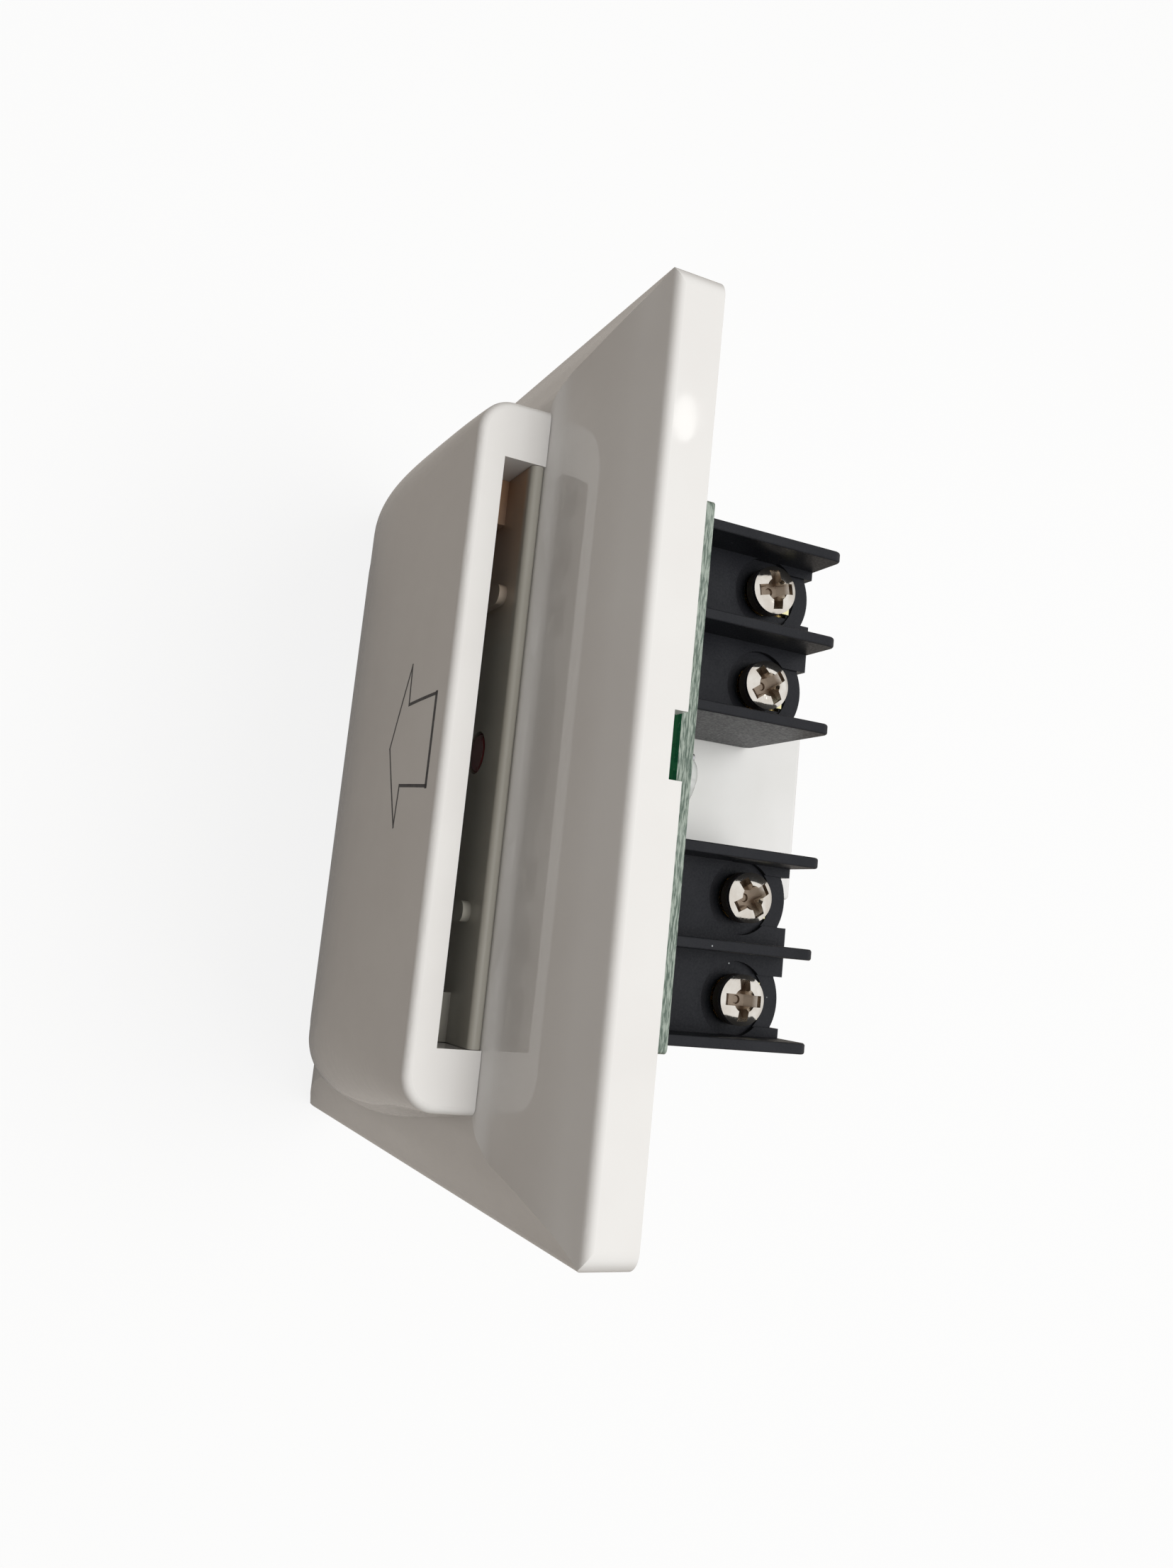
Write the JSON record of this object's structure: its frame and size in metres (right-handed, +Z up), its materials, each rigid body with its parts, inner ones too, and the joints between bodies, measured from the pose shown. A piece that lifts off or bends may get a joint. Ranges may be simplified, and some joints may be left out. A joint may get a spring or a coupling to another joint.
{
  "type": "hotel key card switch",
  "caption": "Wall-mounted key card power switch: square pillow faceplate, hooded card slot, optical sensor, relay board and screw terminal blocks behind.",
  "frame": {"origin": "midway between the two wall box screw slots, on the wall plane", "axes": "+X to the right seen from the room, +Y into the wall, +Z up; the room is on the -Y side"},
  "size_m": [0.086, 0.0484, 0.086],
  "materials": {
    "gloss_white": "glossy moulded ABS",
    "tray_white": "satin moulded ABS",
    "window_red": "dark red tinted lens",
    "frame_white": "matt moulded ABS",
    "board_green": "solder mask over glass fibre laminate",
    "screw_steel": "zinc plated",
    "solder": "bright solder",
    "glue": "translucent white hot glue",
    "terminal_black": "finely textured black polyamide",
    "contact_brass": "stamped, tinned underneath",
    "clamp_brass": "stamped, bright",
    "screw_nickel": "nickel plated steel",
    "relay_white": "satin moulded PBT",
    "relay_black": "moulded PBT",
    "pin_copper": "tinned copper",
    "coil_copper": "enamelled copper wire",
    "relay_iron": "plated soft iron",
    "spring_bronze": "phosphor bronze",
    "emitter_clear": "clear water-tinted lens",
    "receiver_dark": "dark filter lens",
    "lamp_blue": "tinted lens",
    "film_yellow": "potted box",
    "can_sleeve": "shrink sleeve",
    "chip_black": "moulded epoxy",
    "resistor_body": "lacquered",
    "fuse_body": "ceramic tube with end caps",
    "varistor_blue": "dipped epoxy"
  },
  "bodies": {
    "base": {"mounting_frame": "frame_white", "circuit_board": "board_green", "board_screws": "screw_steel", "solder_joints": "solder", "glue_dab": "glue", "terminal_block_left": "terminal_black", "terminal_block_right": "terminal_black", "terminal_contacts": "contact_brass", "relay_case": "relay_white", "relay_base": "relay_black", "relay_pins": "pin_copper", "relay_bobbin": "relay_black", "relay_winding": "coil_copper", "relay_core": "relay_iron", "relay_yoke": "relay_iron", "fixed_contact": "pin_copper", "armature_spring": "spring_bronze", "sensor_body": "chip_black", "ir_emitter": "emitter_clear", "ir_receiver": "receiver_dark", "indicator_lamp": "lamp_blue", "film_capacitor": "film_yellow", "smoothing_capacitor": "can_sleeve", "control_chip": "chip_black", "driver_transistor": "chip_black", "rectifier_diodes": "chip_black", "resistors": "resistor_body", "fuse": "fuse_body", "varistor": "varistor_blue"},
    "cover": {"faceplate": "gloss_white", "card_hood": "gloss_white", "card_pocket": "tray_white", "sensor_window": "window_red"},
    "armature": {"relay_armature": "relay_iron", "moving_contact": "spring_bronze"},
    "clamp_1": {"clamp_plate_1": "clamp_brass"},
    "screw_1": {"terminal_screw_1": "screw_nickel"},
    "clamp_2": {"clamp_plate_2": "clamp_brass"},
    "screw_2": {"terminal_screw_2": "screw_nickel"},
    "clamp_3": {"clamp_plate_3": "clamp_brass"},
    "screw_3": {"terminal_screw_3": "screw_nickel"},
    "clamp_4": {"clamp_plate_4": "clamp_brass"},
    "screw_4": {"terminal_screw_4": "screw_nickel"}
  },
  "joints": [
    {"name": "cover_pull", "type": "slide", "parent": "base", "child": "cover", "axis": [0, -1, 0], "range_m": [0, 0.012]},
    {"name": "armature_swing", "type": "hinge", "parent": "base", "child": "armature", "pos_m": [0, 0.0249, 0.0045], "axis": [-1, 0, 0], "range_deg": [0, 3.5], "stiffness_Nm_per_rad": 0.05, "springref_deg": -2.86},
    {"name": "clamp_lift_1", "type": "slide", "parent": "base", "child": "clamp_1", "axis": [0, 0, 1], "range_m": [-0.0005, 0.0033]},
    {"name": "screw_turn_1", "type": "hinge", "parent": "clamp_1", "child": "screw_1", "pos_m": [-0.0212, 0.0185, 0.0261], "axis": [0, 0, 1], "range_deg": [-390, 2410]},
    {"name": "clamp_lift_2", "type": "slide", "parent": "base", "child": "clamp_2", "axis": [0, 0, 1], "range_m": [-0.0005, 0.0033]},
    {"name": "screw_turn_2", "type": "hinge", "parent": "clamp_2", "child": "screw_2", "pos_m": [-0.011, 0.0185, 0.0261], "axis": [0, 0, 1], "range_deg": [-390, 2410]},
    {"name": "clamp_lift_3", "type": "slide", "parent": "base", "child": "clamp_3", "axis": [0, 0, 1], "range_m": [-0.0005, 0.0033]},
    {"name": "screw_turn_3", "type": "hinge", "parent": "clamp_3", "child": "screw_3", "pos_m": [0.011, 0.0185, 0.0261], "axis": [0, 0, 1], "range_deg": [-390, 2410]},
    {"name": "clamp_lift_4", "type": "slide", "parent": "base", "child": "clamp_4", "axis": [0, 0, 1], "range_m": [-0.0005, 0.0033]},
    {"name": "screw_turn_4", "type": "hinge", "parent": "clamp_4", "child": "screw_4", "pos_m": [0.0212, 0.0185, 0.0261], "axis": [0, 0, 1], "range_deg": [-390, 2410]}
  ],
  "couplings": [
    {"joint": "screw_turn_1", "follows": "clamp_lift_1", "rad_per_m": 12566},
    {"joint": "screw_turn_2", "follows": "clamp_lift_2", "rad_per_m": 12566},
    {"joint": "screw_turn_3", "follows": "clamp_lift_3", "rad_per_m": 12566},
    {"joint": "screw_turn_4", "follows": "clamp_lift_4", "rad_per_m": 12566}
  ]
}
